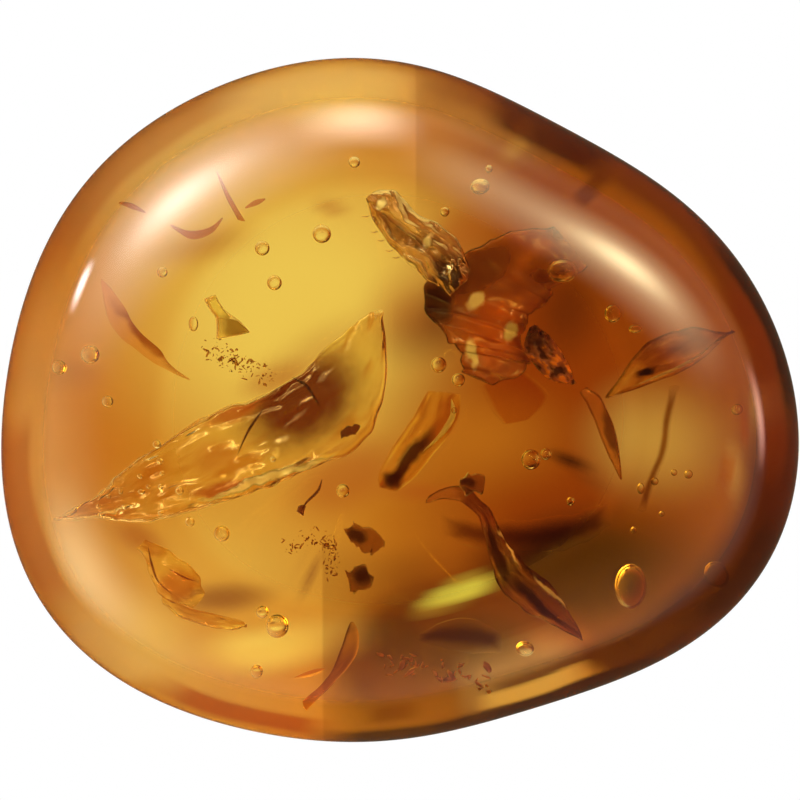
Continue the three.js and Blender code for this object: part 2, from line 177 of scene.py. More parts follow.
# Colour patches of the resin in plan; some of them are painted light and shade, as the comments above them say.
PATCHES = (
    (HONEY, (-11.0, -9.5), (11.0, 7.0), 0, 0.0, 0.45),
    (OCHRE, (5.0, -2.8), (8.0, 4.5), 0, 0.0, 0.5),
    (HONEY, (15.6, -3.0), (5.6, 5.0), 0, 0.0, 0.45),
    (MAHOGANY, (14.0, -12.5), (12.0, 8.0), 0, 0.3, 0.7),
    (UMBER, (10.8, -10.4), (9.4, 4.0), 4, 0.3, 0.95),
    (MAHOGANY, (3.6, -15.2), (10.0, 5.0), 0, 0.65, 1.0),
    (UMBER, (3.8, -14.6), (6.6, 2.6), 6, 0.2, 0.85),
    (UMBER, (10.6, -4.4), (2.4, 0.7), -18, 0.0, 0.9),
    # Painted shade: darker under the husk.
    (MAHOGANY, (1.6, 4.6), (5.6, 3.4), 20, 0.0, 0.75),
    # Painted light: a pale yellow glow where light gathers inside the resin.
    (STRAW, (3.0, -11.6), (3.9, 0.8), 16, 0.3, 0.9),
    # Painted light: these two are yellow glows of light gathered inside the resin.
    (HONEY, (-5.6, -13.4), (5.0, 1.7), 0, 0.0, 0.6),
    (HONEY, (-9.2, -13.9), (5.0, 1.5), 3, 0.2, 1.0),
    # Painted shade: a soft rusty shadow beside the leaf's stain.
    (RUST, (-8.2, 1.6), (2.8, 1.4), 30, 0.1, 0.55),
    (RUST, (-15.4, -8.4), (2.2, 1.2), -20, 0.1, 0.6),
    (RUST, (2.6, 9.8), (2.6, 2.2), 0, 0.1, 0.5),
    (HONEY, (-15.2, -13.6), (4.2, 3.0), -35, 0.0, 0.6),
    (RUST, (-4.0, -4.5), (4.8, 3.0), 20, 0.2, 0.6),
    (UMBER, (9.9, 4.8), (3.6, 4.6), 0, 0.0, 0.5),
    # Painted sheen: this one lightens the dark zone low on the right.
    (RUST, (9.6, -14.0), (3.6, 1.3), 0, 0.2, 0.6),
    (UMBER, (-1.0, -13.8), (2.4, 2.2), 0, 0.2, 0.55),
    (RUST, (-1.0, 5.4), (3.2, 3.6), 0, 0.0, 0.45),
    (HONEY, (6.5, 14.3), (2.0, 1.0), 20, 0.0, 0.6),
    # Painted highlights: these two are glints near the right edge.
    (HONEY, (20.9, -1.0), (0.7, 2.0), 0, 0.0, 0.35),
    (HONEY, (19.7, -4.8), (0.7, 2.4), 0, 0.0, 0.3),
    (MAHOGANY, (16.9, -11.2), (3.0, 2.0), -30, 0.1, 0.5),
    # Painted light: a yellow glow inside the top of the rim.
    (HONEY, (-4.5, 18.4), (8.0, 3.2), 4, 0.2, 0.9),
    (RUST, (-6.0, 2.8), (5.2, 2.4), 38, 0.1, 0.4),
    (MAHOGANY, (0.3, -10.9), (4.8, 2.6), 0, 0.0, 0.45),
    (SMEAR, (-10.9, -11.3), (4.2, 1.1), 8, 0.1, 0.85),
    (SMEAR, (-5.8, -10.0), (0.5, 2.2), -28, 0.0, 0.7),
    (RUST, (-19.8, 0.3), (3.2, 1.8), 10, 0.0, 0.6),
    (RUST, (-11.9, 8.9), (4.2, 1.3), 22, 0.0, 0.45),
    (RUST, (-4.8, 11.7), (1.6, 0.8), 0, 0.0, 0.5),
    (RUST, (0.6, -5.8), (3.4, 0.9), -5, 0.0, 0.5),
)
# Painted light and shade over the rim, with some orange and red tone: the white and pale marks are painted highlights
# and glints, the dark bands painted shade.
RIM_LIGHT_AND_SHADE = (
    ("#6a1c08", 30, 75, 1.0, 0.12, 0.5, 0.9),
    ("#390602", 320, 45, 1.0, 0.16, 0.6, 0.95),
    ("#97501c", 75, 25, 0.91, 0.08, 0.3, 0.5),
    ("#3a0c04", 60, 15, 0.97, 0.09, 0.6, 0.95),
    ("#0d0101", 12, 22, 1.0, 0.05, 0.5, 0.95),
    ("#2a0803", 45, 25, 1.0, 0.025, 0.4, 0.9),
    ("#4a1a08", 75, 30, 1.0, 0.015, 0.3, 0.8),
    ("#8a3a48", 5, 20, 0.935, 0.035, 0.5, 0.9),
    ("#ffffff", 105, 20, 0.92, 0.06, 0.5, 1.0),
    ("#b85420", 140, 26, 0.955, 0.055, 0.5, 0.65),
    ("#b03c10", 197, 17, 0.955, 0.05, 0.6, 0.7),
    ("#ffffff", 221, 8, 0.95, 0.05, 0.5, 0.8),
    ("#a62c08", 243, 17, 0.955, 0.035, 0.5, 0.9),
    ("#97673d", 268, 7, 0.92, 0.035, 0.3, 0.9),
    ("#140302", 288, 38, 1.0, 0.05, 0.6, 0.95),
    ("#ffe8a0", 296, 13, 0.938, 0.025, 0.6, 1.0),
    ("#140302", 333, 13, 0.97, 0.05, 0.5, 0.8),
    ("#e08a30", 347.5, 4, 0.835, 0.025, 0.3, 0.9),
    ("#d88030", 356, 5, 0.87, 0.015, 0.3, 0.8),
    ("#5a1404", 46.5, 2, 0.87, 0.08, 0.5, 0.8),
)


def ease(value, start, full):
    """A share that eases from 0 to 1 as a value goes from start to full."""
    share = min(max((value - start) / (full - start), 0.0), 1.0)
    return share * share * (3 - 2 * share)


def patch_share(x, y, middle, reach, turn, core):
    """A patch in plan: 1 within the core share of its reach from the middle, easing to 0 at its reach, in mm."""
    angle = math.radians(turn)
    along = (x - middle[0]) * math.cos(angle) + (y - middle[1]) * math.sin(angle)
    across = (y - middle[1]) * math.cos(angle) - (x - middle[0]) * math.sin(angle)
    return ease(math.hypot(along / reach[0], across / reach[1]), 1.0, core)


def colour_of(hex_colour):
    """A colour to blend with others."""
    return Vector(linear(hex_colour)[:3])


def turned(angle, toward):
    """How far an angle is turned from another, in degrees."""
    return abs((angle - toward + 180) % 360 - 180)


def skin_tint(x, y, z):
    """The tint of the resin's skin at a place in mm: weak on the crown and strong on the base.
    Over the rim the crown carries painted light and shade, pale streaks and glints and dark bands, and the sides of
    the base are paled towards some directions, painted light for the rim above them."""
    swirl = noise.noise_vector(Vector((x, y, z)) / 14) * 1.5
    wider = 1 + (SEEN_WIDER - 1) * ease(z, WAIST + 1, WAIST - 1)
    seen_x = x * wider + swirl.x
    seen_y = y * wider + swirl.y
    tint = ochre.lerp(honey, patch_share(seen_x, seen_y, (-6.5, 5.5), (15, 14), 0, 0.15))
    tint = tint.lerp(cognac, ease(seen_x, -7 + 0.4 * max(seen_y, 0), 8))
    for colour, middle, reach, turn, core, weight in patches:
        tint = tint.lerp(colour, patch_share(seen_x, seen_y, middle, reach, turn, core) * weight)
    power = 0.2 + 1.6 * ease(z, 13.5, 8)
    tint = Vector([channel ** power for channel in tint])
    angle = math.degrees(math.atan2(y, x))
    if z < WAIST:
        # Painted light: the base's flank is paled towards some directions, so the rim over it looks lit.
        for toward, spread, weight in SIDES_PAINTED_LIT:
            tint = tint.lerp(side, ease(z, 1.2, 2.6) * ease(turned(angle, toward), spread, 0.4 * spread) * weight)
        return tint
    waver = noise.noise_vector(Vector((x, y, z)) / 5)
    angle += 3 * waver.y
    rise = min((z - WAIST) / (HEIGHT - WAIST), 1.0)
    share = (1 - rise ** CROWN_FULLNESS) ** (1 / CROWN_FULLNESS) + 0.012 * waver.x
    # Painted light and shade over the rim: pale streaks and glints, and dark bands.
    for colour, toward, spread, at, reach, core, weight in rim_light_and_shade:
        part = ease(turned(angle, toward), spread, core * spread) * ease(abs(share - at), reach, core * reach)
        tint = tint.lerp(colour, part * weight)
    return tint


honey = colour_of(HONEY)
ochre = colour_of(OCHRE)
cognac = colour_of(COGNAC)
side = colour_of(SIDE_LIGHT)
patches = [(colour_of(patch[0]), *patch[1:]) for patch in PATCHES]
rim_light_and_shade = [(colour_of(mark[0]), *mark[1:]) for mark in RIM_LIGHT_AND_SHADE]
tint_layer = lump.verts.layers.float_color.new("tint")
matt_layer = lump.verts.layers.float.new("matt")
seam_layers = [lump.verts.layers.float.new(layer) for layer, edge, dark in SEAMS]
for vert in lump.verts:
    x, y, z = vert.co / MM
    vert[tint_layer] = (*skin_tint(x, y, z), 1.0)
    vert[matt_layer] = 0.7 * ease(z, 9.5, 7) * ease(z, 0.3, 0.7)
    upper = ease(z, WAIST, WAIST + 0.6)
    vert[seam_layers[0]] = upper * ease(x, 8, 1) * ease(y, 10, 13.5)
    vert[seam_layers[1]] = upper * ease(x, 2.5, -4.6) * ease(y, -7.5, -10)

# The air bubbles: small hollows in the resin, most of them round, trapped on the skin of the first flow.
# Their walls belong to the amber piece and face into the hollows.
SKIN_RADIUS = 60.0
SKIN_TOP = (-4.0, 3.0, 11.6)
DRAW_IN = 0.945
BUBBLES = (
    (-2.9, 13.9, 0.32, 0.32), (-4.8, 9.75, 0.52, 0.52), (-8.3, 8.9, 0.42, 0.42), (-7.6, 6.9, 0.42, 0.42),
    (5.0, 13.4, 0.22, 0.22), (4.5, 12.4, 0.57, 0.45), (2.4, 11.0, 0.27, 0.27), (-14.1, 7.5, 0.3, 0.3),
    (-12.3, 4.5, 0.27, 0.42), (-18.3, 2.6, 0.54, 0.54), (-20.1, 1.8, 0.42, 0.42), (-17.3, -0.2, 0.33, 0.33),
    (2.2, 2.1, 0.45, 0.45), (3.4, 1.2, 0.39, 0.39), (12.6, 4.9, 0.5, 0.5), (13.9, 4.0, 0.38, 0.24),
    (19.6, -0.8, 0.3, 0.3), (16.2, -4.3, 0.18, 0.18), (17.0, -4.4, 0.24, 0.24), (15.1, -4.8, 0.21, 0.21),
    (14.3, -5.2, 0.21, 0.3), (10.2, -5.9, 0.24, 0.24), (15.5, -6.6, 0.15, 0.15), (13.9, -7.5, 0.18, 0.18),
    (-10.8, -7.8, 0.45, 0.45), (-3.6, -5.3, 0.39, 0.39), (-8.4, -12.3, 0.36, 0.36), (-7.5, -13.1, 0.66, 0.66),
    (-8.7, -15.6, 0.36, 0.36), (7.8, -3.5, 0.57, 0.57), (8.7, -3.2, 0.33, 0.33), (7.4, -14.1, 0.54, 0.4),
    (18.3, -9.6, 0.6, 0.6), (13.7, -10.5, 0.9, 1.15),
)
BUBBLES_ON_SCRAPS = (
    (9.7, 7.5, 0.9, 0.66, 1.4), (3.1, 8.1, 0.16, 0.3, 2.4), (3.5, 8.2, 0.14, 0.24, 2.4), (3.2, -0.6, 0.18, 0.18, 1.2),
    (-14.6, -2.7, 0.24, 0.24, 1.2), (-13.3, -5.4, 0.24, 0.24, 1.2), (-12.7, -7.2, 0.27, 0.27, 1.0),
    (-18.0, -6.4, 0.16, 0.12, 1.1), (-17.4, -5.8, 0.14, 0.14, 1.1), (-16.5, -6.4, 0.18, 0.14, 1.1),
    (-16.7, -5.5, 0.13, 0.18, 1.1), (-15.5, -5.5, 0.2, 0.15, 1.1), (-15.1, -5.2, 0.12, 0.12, 1.1),
    (-15.6, -4.6, 0.14, 0.14, 1.1), (-14.4, -5.2, 0.12, 0.16, 1.1), (-14.4, -3.7, 0.18, 0.18, 1.1),
    (-14.3, -4.4, 0.13, 0.13, 1.1), (-17.8, -6.9, 0.12, 0.12, 1.0), (-7.8, -3.5, 0.16, 0.16, 1.2),
    (-14.4, -6.7, 0.15, 0.15, 1.0),
)


def on_skin(x, y, lift=0.0):
    """The place in mm of a point seen from above at x and y, at a lift over the skin of the first flow."""
    x *= DRAW_IN
    y *= DRAW_IN
    out = math.hypot(x - SKIN_TOP[0], y - SKIN_TOP[1])
    height = SKIN_TOP[2] - SKIN_RADIUS + math.sqrt(SKIN_RADIUS ** 2 - out ** 2)
    return Vector((x, y, height + lift))


for x, y, radius_x, radius_y, lift in [(*bubble, 0.0) for bubble in BUBBLES] + list(BUBBLES_ON_SCRAPS):
    bubble = bmesh.new()
    bmesh.ops.create_uvsphere(bubble, u_segments=24, v_segments=14, radius=MM)
    bmesh.ops.scale(bubble, vec=(radius_x, radius_y, radius_x), verts=bubble.verts)
    bmesh.ops.translate(bubble, vec=on_skin(x, y, lift) * MM, verts=bubble.verts)
    bmesh.ops.reverse_faces(bubble, faces=bubble.faces)
    for wall in bubble.faces:
        wall.material_index = 1
    join_shape(lump, bubble)
amber_piece = new_piece("amber_piece", lump)

def soft_patch(tree, where, middle, reach, turn=0.0, core=0.0):
    """A patch in plan: 1 within the core share of its reach from the middle, fading to 0 at its reach, in mm."""
    off = add_node(tree, "ShaderNodeMapping", {"vector_type": "TEXTURE"}, {
        "Vector": where, "Location": (middle[0] * MM, middle[1] * MM, 0),
        "Rotation": (0, 0, math.radians(turn)), "Scale": (reach[0] * MM, reach[1] * MM, 1000)})
    far = add_node(tree, "ShaderNodeVectorMath", {"operation": "LENGTH"}, {0: off.outputs[0]})
    patch = add_node(tree, "ShaderNodeMapRange", {"interpolation_type": "SMOOTHSTEP"}, {
        "Value": far.outputs["Value"], "From Min": 1.0, "From Max": core})
    return patch.outputs[0]


def lay_over(tree, under, over, share, weight=1.0):
    """Lays a colour over another by a share between 0 and 1, times a weight."""
    part = add_node(tree, "ShaderNodeMath", {"operation": "MULTIPLY"}, {0: share, 1: weight})
    mix = add_node(tree, "ShaderNodeMix", {"data_type": "RGBA"}, {0: part.outputs[0], 6: under, 7: over})
    return mix.outputs[2]


amber, tree = new_material("polished amber")
place = add_node(tree, "ShaderNodeTexCoord")
sides = add_node(tree, "ShaderNodeSeparateXYZ", None, {0: place.outputs["Object"]})
tint = add_node(tree, "ShaderNodeAttribute", {"attribute_name": "tint"}).outputs["Color"]
for layer, edge, dark in SEAMS:
    level = add_node(tree, "ShaderNodeAttribute", {"attribute_name": layer})
    past = add_node(tree, "ShaderNodeMapRange", None, {
        "Value": sides.outputs["X"], "From Min": (edge - 0.08) * MM, "From Max": (edge + 0.08) * MM})
    share = add_node(tree, "ShaderNodeMath", {"operation": "MULTIPLY"}, {
        0: past.outputs[0], 1: level.outputs["Fac"]})
    darker = add_node(tree, "ShaderNodeMix", {"data_type": "RGBA", "blend_type": "MULTIPLY"}, {
        0: share.outputs[0], 6: tint, 7: linear(dark)})
    tint = darker.outputs[2]
matt = add_node(tree, "ShaderNodeAttribute", {"attribute_name": "matt"})
skin = add_node(tree, "ShaderNodeBsdfPrincipled", None, {
    "Base Color": tint, "Roughness": matt.outputs["Fac"], "IOR": 1.54, "Transmission Weight": 1.0})
depth = add_node(tree, "ShaderNodeVolumeAbsorption", None, {
    "Color": linear(RESIN_TINT), "Density": RESIN_DEPTH})
add_node(tree, "ShaderNodeOutputMaterial", None, {
    "Surface": skin.outputs[0], "Volume": depth.outputs[0]})
amber_piece.data.materials.append(amber)
bubble_wall, tree = new_material("bubble wall in amber")
wall = add_node(tree, "ShaderNodeBsdfPrincipled", None, {
    "Base Color": (1, 1, 1, 1), "Roughness": 0.0, "IOR": 1.22, "Transmission Weight": 1.0})
add_node(tree, "ShaderNodeOutputMaterial", None, {"Surface": wall.outputs[0]})
amber_piece.data.materials.append(bubble_wall)
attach(amber_piece, "root")
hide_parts("amber_lower", "amber_upper")


# The large leaf: a long dry leaf with a pointed tip, broad and torn at its right end.
# Resin soaked it, so it is a clear film with thin rolled edges, a rusty stain and a dark vein.
def curve_point(points, t):
    """A point of a smooth curve through points, t from 0 at the first to 1 at the last."""
    last = len(points) - 1
    step = min(int(t * last), last - 1)
    u = t * last - step
    a = points[max(step - 1, 0)]
    b = points[step]
    c = points[step + 1]
    d = points[min(step + 2, last)]
    bend = (2 * b) + (c - a) * u + (2 * a - 5 * b + 4 * c - d) * u ** 2 + (3 * b - a - 3 * c + d) * u ** 3
    return bend / 2


def film(edge_a, edge_b, thick, bow=0.0, fold=0.1, crease=(4.0, 1.2), bead=0.12, wave=0.06, steps=(60, 40),
         seed=0.0, stuff=0, octaves=3, jag=0.8, flat_end=0.0):
    """A film between two edges, each a row of plan x, y and lift in mm, as a closed shape.
    It is bowed up in the middle and folded along its length, and each edge is rolled to a bead.
    Its edges wave once in each jag mm, and its far end lies flatter and thinner by the share flat_end."""
    side_a = [on_skin(*point) for point in edge_a]
    side_b = [on_skin(*point) for point in edge_b]
    rings, around = steps
    shape = bmesh.new()
    inside = shape.verts.layers.float.new("inside")
    border = shape.verts.layers.float.new("border")
    relief = shape.verts.layers.float.new("relief")
    length = shape.verts.layers.float.new("length")
    bmesh.ops.create_uvsphere(shape, u_segments=around, v_segments=rings, radius=1.0)
    span = sum((b - a).length for a, b in zip(side_a, side_a[1:]))
    frames = {}
    for ring in range(rings + 1):
        t = ring / rings
        a = curve_point(side_a, t)
        b = curve_point(side_b, t)
        a += wave * noise.noise_vector(Vector((t * span / jag, seed, 1.7)))
        b += wave * noise.noise_vector(Vector((t * span / jag, seed, 8.3)))
        back = curve_point(side_a, max(t - 0.02, 0)) + curve_point(side_b, max(t - 0.02, 0))
        front = curve_point(side_a, min(t + 0.02, 1)) + curve_point(side_b, min(t + 0.02, 1))
        half = (b - a) / 2
        up = (front - back).cross(half).normalized()
        frames[ring] = ((a + b) / 2, half, up if up.z > 0 else -up)
    for vert in shape.verts:
        ring = round(math.acos(max(-1.0, min(1.0, -vert.co.z))) / math.pi * rings)
        t = ring / rings
        turn = math.atan2(vert.co.y, vert.co.x)
        across = math.cos(turn) if 0 < ring < rings else 0.0
        middle, half, up = frames[ring]
        if ring in (0, rings):
            vert.co = middle * MM
            continue
        width = half.length
        from_edge = (1 - abs(across)) * width
        roll = max(bead * (1 + 0.6 * noise.noise(Vector((t * span / 1.5, across * 0.5, seed)))), 0.02)
        round_off = min(max(roll, thick), width)
        if from_edge < round_off:
            high = math.sqrt(max(round_off ** 2 - (round_off - from_edge) ** 2, 0)) * max(roll, thick) / round_off
        else:
            high = max(thick, math.sqrt(max(roll ** 2 - (from_edge - roll) ** 2, 0)))
        flat = 1 - flat_end * ease(t, 0.5, 0.85)
        high *= min(1.0, 6 * t + 0.1, 6 * (1 - t) + 0.1) * flat
        ridge = noise.fractal(Vector((t * span / crease[0], across * width / crease[1], seed)), 1.0, 2.0, octaves)
        lift = math.copysign(high, math.sin(turn)) + bow * (1 - across ** 2) + fold * ridge * flat
        vert.co = (middle + half * across + up * lift) * MM
        vert[inside] = min(1 - abs(across), 5 * t, 5 * (1 - t))
        vert[border] = from_edge
        vert[relief] = 0.5 + 0.5 * ridge
        vert[length] = t
    bmesh.ops.recalc_face_normals(shape, faces=shape.faces)
    for face in shape.faces:
        face.material_index = stuff
    return shape


def strand(points, radius, steps=(14, 8), stuff=0):
    """A tapered thread along a row of plan x, y and lift in mm, as a closed shape."""
    way = [on_skin(*point) for point in points]
    rings, around = steps
    shape = bmesh.new()
    border = shape.verts.layers.float.new("border")
    relief = shape.verts.layers.float.new("relief")
    bmesh.ops.create_uvsphere(shape, u_segments=around, v_segments=rings, radius=1.0)
    for vert in shape.verts:
        vert[border] = 1.0
        vert[relief] = 0.5
        t = math.acos(max(-1.0, min(1.0, -vert.co.z))) / math.pi
        ahead = (curve_point(way, min(t + 0.05, 1)) - curve_point(way, max(t - 0.05, 0))).normalized()
        side = Vector((-ahead.y, ahead.x, 0)).normalized()
        up = ahead.cross(side)
        out = side * vert.co.x + up * vert.co.y
        vert.co = (curve_point(way, t) + out * radius * (1 - 0.6 * t)) * MM
    for face in shape.faces:
        face.material_index = stuff
    return shape


def scrap(node, shapes, stuffs):
    """Makes one piece of the shapes, in place of a CAD node."""
    whole = shapes[0]
    for shape in shapes[1:]:
        join_shape(whole, shape)
    piece = new_piece(node + "_scrap", whole)
    for stuff in stuffs:
        piece.data.materials.append(stuff)
    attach(piece, "root")
    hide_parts(node)
    return piece


GLINT = "#fffbd8"


def layer_share(tree, layer, start, full):
    """A share from 0 to 1 as a layer of the mesh goes from start to full."""
    level = add_node(tree, "ShaderNodeAttribute", {"attribute_name": layer})
    share = add_node(tree, "ShaderNodeMapRange", {"interpolation_type": "SMOOTHSTEP"}, {
        "Value": level.outputs["Fac"], "From Min": start, "From Max": full})
    return share.outputs[0]


def soaked(name, base, patches=(), clear=0.95, rough=0.0, bend=1.2, shine=0.5, soft=0.0, line=None,
           line_width=0.16, line_stop=2.0, painted_fold_shade=None, painted_ridge_highlight=None, glints=()):
    """Plant stuff soaked in resin: a base colour with stains in plan, mottled, clear in part.
    Bend is its IOR in the resin, soft fades its colour out towards its edges, line draws its rolled edge,
    painted_fold_shade paints shade into its folds and painted_ridge_highlight paints highlights on its crests, and
    glints are painted highlights: pale spots that the light can't pass."""
    material, tree = new_material(name)
    place = add_node(tree, "ShaderNodeTexCoord")
    cloud = add_node(tree, "ShaderNodeTexNoise", None, {
        "Vector": place.outputs["Object"], "Scale": 1 / (1.2 * MM), "Detail": 3.0})
    drift = add_node(tree, "ShaderNodeVectorMath", {"operation": "MULTIPLY_ADD"}, {
        0: cloud.outputs["Color"], 1: (0.9 * MM, 0.9 * MM, 0), 2: place.outputs["Object"]})
    colour = lay_over(tree, linear(base), (1, 1, 1, 1), cloud.outputs["Fac"], 0.1)
    # Painted shade in the folds and painted highlights on the crests.
    if painted_fold_shade:
        colour = lay_over(tree, colour, linear(painted_fold_shade), layer_share(tree, "relief", 0.5, 0.25), 0.8)
    if painted_ridge_highlight:
        colour = lay_over(tree, colour, linear(painted_ridge_highlight), layer_share(tree, "relief", 0.55, 0.75), 0.8)
    for stain, middle, reach, turn, part in patches:
        middle = (middle[0] * DRAW_IN + 0.45, middle[1] * DRAW_IN + 0.45)
        patch = soft_patch(tree, drift.outputs[0], middle, reach, turn, 0.35)
        colour = lay_over(tree, colour, linear(stain), patch, part)
    if line:
        drawn = add_node(tree, "ShaderNodeMath", {"operation": "MULTIPLY"}, {
            0: layer_share(tree, "border", line_width, line_width / 4),
            1: layer_share(tree, "length", line_stop, line_stop - 0.2)})
        colour = lay_over(tree, colour, linear(line), drawn.outputs[0], 0.85)
    # Glints: painted highlights.
    for middle, reach, turn in glints:
        middle = (middle[0] * DRAW_IN + 0.45, middle[1] * DRAW_IN + 0.45)
        patch = soft_patch(tree, drift.outputs[0], middle, reach, turn, 0.4)
        colour = lay_over(tree, colour, linear(GLINT), patch)
        rest = add_node(tree, "ShaderNodeMath", {"operation": "SUBTRACT"}, {0: 1.0, 1: patch})
        clear = add_node(tree, "ShaderNodeMath", {"operation": "MULTIPLY"}, {
            0: clear, 1: rest.outputs[0]}).outputs[0]
    if soft:
        colour = lay_over(tree, colour, (1, 1, 1, 1), layer_share(tree, "inside", soft, 0.0))
    stuff = add_node(tree, "ShaderNodeBsdfPrincipled", None, {
        "Base Color": colour, "Roughness": rough, "IOR": bend, "Transmission Weight": clear,
        "Specular IOR Level": shine})
    add_node(tree, "ShaderNodeOutputMaterial", None, {"Surface": stuff.outputs[0]})
    return material


# Painted shade lies in the leaf's folds, and a painted highlight along its lower rolled edge.
leaf_film = soaked("leaf film in resin", "#fff0c0", (
    ("#7a3420", (-6.0, 0.1), (4.9, 3.3), 30, 0.95),
    ("#d88030", (-11.1, -3.4), (1.7, 1.2), 30, 0.35),
    ("#c85a20", (-10.7, -5.1), (2.6, 0.5), 10, 0.7),
    ("#c86428", (-9.9, -0.7), (2.4, 0.7), 25, 0.7),
    ("#e0b060", (-18.0, -6.4), (2.4, 1.2), 20, 0.5),
), bend=1.45, shine=1.0, line="#7a4818", line_width=0.13, line_stop=0.74, painted_fold_shade="#ecc070", glints=(((-8.2, -4.6), (4.5, 0.3), 18),))
dark_vein = soaked("dark vein in resin", "#8a4418", clear=0.8, bend=1.3)
scrap("large_leaf", (
    film(((-20.5, -7.2, 0.4), (-18.0, -5.7, 0.5), (-16.5, -4.2, 0.4), (-14.1, -2.6, 0.5), (-11.1, -0.7, 0.4),
          (-8.3, 0.3, 0.3), (-6.0, 1.8, 0.4), (-4.2, 3.5, 0.5), (-2.7, 4.8, 0.5), (-1.25, 5.5, 0.6)),
         ((-20.5, -7.2, 0.4), (-18.0, -7.1, 0.3), (-15.3, -7.2, 0.1), (-12.6, -6.6, 0.2), (-9.7, -5.7, 0.1),
          (-7.5, -4.9, 0.0), (-5.4, -3.9, 0.1), (-2.6, -2.7, 0.2), (-1.0, 0.6, 0.3), (-1.2, 5.3, 0.6)),
         0.07, 0.35, 0.45, (4.0, 1.0), 0.2, 0.12, (150, 80), 1.0, flat_end=0.7),
    strand(((-8.3, -0.5, 0.9), (-9.2, -1.8, 0.9), (-9.9, -3.3, 0.8)), 0.1, (20, 8), 1),
    strand(((-6.6, 1.4, 1.0), (-5.7, 0.8, 1.0), (-4.9, -0.5, 0.9)), 0.14, (16, 8), 0),
    film(((-3.75, -1.9, 0.9), (-3.2, -1.4, 0.9), (-2.6, -1.5, 0.9)),
         ((-3.7, -2.2, 0.9), (-3.2, -2.1, 0.9), (-2.65, -1.8, 0.9)),
         0.08, 0.0, 0.06, (0.6, 0.4), 0.06, 0.2, (40, 24), 1.5, 1, jag=0.3),
), (leaf_film, dark_vein))
scrap("thread_curl", (
    strand(((-4.85, -4.6, 0.1), (-5.1, -5.3, 0.1), (-5.8, -6.0, 0.1), (-6.15, -6.6, 0.1)), 0.12, (40, 10)),
    film(((-5.8, -6.2, 0.1), (-5.9, -6.5, 0.1), (-5.95, -6.8, 0.1)),
         ((-6.1, -6.0, 0.1), (-6.35, -6.3, 0.1), (-6.4, -6.5, 0.1)),
         0.1, 0.0, 0.06, (0.5, 0.3), 0.08, 0.1, (30, 20), 1.7, jag=0.3),
), (dark_vein,))

# The husk: a bud husk, crumpled and half rolled, glassy where the resin filled it.
# It lies slanting, its right end over the flake, with short bristles on its left side.
# Painted shade in the husk's folds, painted highlights on its crests, and two glints that are painted highlights.
husk_shell = soaked("husk in resin", "#f0c890", (
    ("#5a2c10", (3.3, 7.4), (2.0, 1.7), 0, 0.9),
    ("#8a4a20", (2.2, 9.2), (2.4, 0.5), -40, 0.7),
    ("#b87040", (-1.4, 11.3), (0.8, 0.6), 0, 0.6),
), clear=0.75, bend=1.4, shine=1.0, line="#6a3a14", line_width=0.12, painted_fold_shade="#9a6434", painted_ridge_highlight="#fff0c0",
   glints=(((1.6, 9.5), (0.3, 0.7), -25), ((-1.3, 11.6), (0.4, 0.5), 0)))
scrap("husk", (
    film(((-2.3, 11.9, 0.6), (-1.8, 10.6, 0.5), (-0.9, 9.3, 0.4), (-0.1, 8.4, 0.5), (0.8, 7.6, 0.7),
          (1.8, 6.8, 0.9), (3.0, 6.2, 1.1)),
         ((-1.9, 12.3, 0.6), (-0.5, 12.3, 0.6), (0.5, 11.2, 0.6), (2.0, 10.4, 0.7), (3.2, 9.4, 0.9),
          (3.9, 8.3, 1.2), (3.9, 7.0, 1.3)),
         0.4, 0.25, 0.6, (2.2, 0.7), 0.35, 0.16, (110, 72), 2.0),
    *[strand(((x, y, 0.6), (x - 0.25, y - 0.1, 0.6), (x - 0.5, y - 0.05, 0.5)), 0.05, (6, 6))
      for x, y in ((-2.0, 10.9), (-1.5, 10.0), (-1.1, 9.5), (-0.6, 8.9), (-0.2, 8.5))],
), (husk_shell,))

# The bark flake: a glossy brown flake of inner bark with a lobed edge.
# Its foot runs out in a thin clear lobe.
# Painted light on the flake: shade in its folds, highlights on its crests and three glints.
flake_stuff = soaked("inner bark in resin", "#dc8830", (
    # Painted shade: darker where the husk lies over the flake.
    ("#7a4414", (4.4, 7.7), (3.4, 1.8), 20, 0.6),
    ("#4a240c", (1.9, 5.6), (1.5, 1.8), 0, 0.9),
    ("#7a4014", (9.0, 7.6), (2.2, 1.2), 20, 0.5),
    ("#ff9428", (5.4, 4.0), (2.2, 2.4), 20, 0.8),
), clear=0.6, bend=1.35, shine=1.0, line="#5a2c08", line_width=0.09, painted_fold_shade="#8a4810", painted_ridge_highlight="#ffb040",
   glints=(((4.45, 5.75), (0.5, 0.8), -30), ((6.5, 3.9), (0.45, 0.8), -10), ((4.2, 2.8), (0.4, 1.2), 10)))
thin_lobe = soaked("thin bark film in resin", "#ecc890", clear=1.0, bend=1.02, soft=0.25)
scrap("bark_flake", (
    film(((9.2, 9.9, 0.2), (6.4, 9.6, 0.0), (3.8, 8.7, -0.4), (1.7, 7.0, -0.5), (1.2, 5.3, -0.5),
          (2.6, 3.8, -0.5), (3.5, 2.6, -0.3), (3.6, 1.4, 0.0)),
         ((11.3, 7.6, 0.2), (9.6, 6.7, 0.0), (8.7, 5.8, -0.3), (7.7, 4.8, -0.5), (7.3, 3.9, -0.5),
          (7.5, 2.7, -0.4), (7.5, 1.8, -0.2), (5.4, 0.8, 0.1)),
         0.14, 0.5, 0.6, (4.5, 2.0), 0.2, 0.35, (130, 80), 3.0, 0, 1),
    film(((4.7, 0.9, -0.5), (5.3, -0.4, -0.6), (6.2, -1.5, -0.5)),
         ((7.4, 1.6, -0.5), (8.8, 0.2, -0.6), (7.6, -1.2, -0.5)),
         0.06, 0.0, 0.05, (3.0, 2.0), 0.06, 0.05, (30, 28), 3.5, 1),
), (flake_stuff, thin_lobe))

